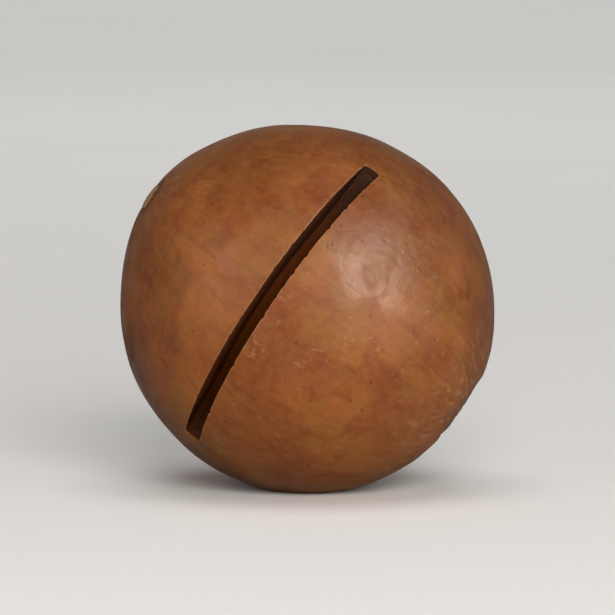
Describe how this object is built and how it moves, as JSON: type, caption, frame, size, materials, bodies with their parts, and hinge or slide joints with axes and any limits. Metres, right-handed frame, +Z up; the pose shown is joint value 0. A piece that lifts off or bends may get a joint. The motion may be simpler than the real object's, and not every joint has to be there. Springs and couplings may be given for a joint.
{
  "type": "macadamia nut in shell",
  "caption": "Round brown macadamia nut in its hard shell, with a sawn slit for prising it open and a small flat spot to rest on.",
  "frame": {"origin": "on the floor, below the middle of the nut's outline", "axes": "+Z up; the sawn slit faces -Y, and the tip with the micropyle points to -X and upwards"},
  "size_m": [0.0226, 0.0222, 0.0221],
  "materials": {
    "nut_shell": "satin"
  },
  "bodies": {
    "root": {"macadamia_nut": "nut_shell"}
  },
  "joints": []
}
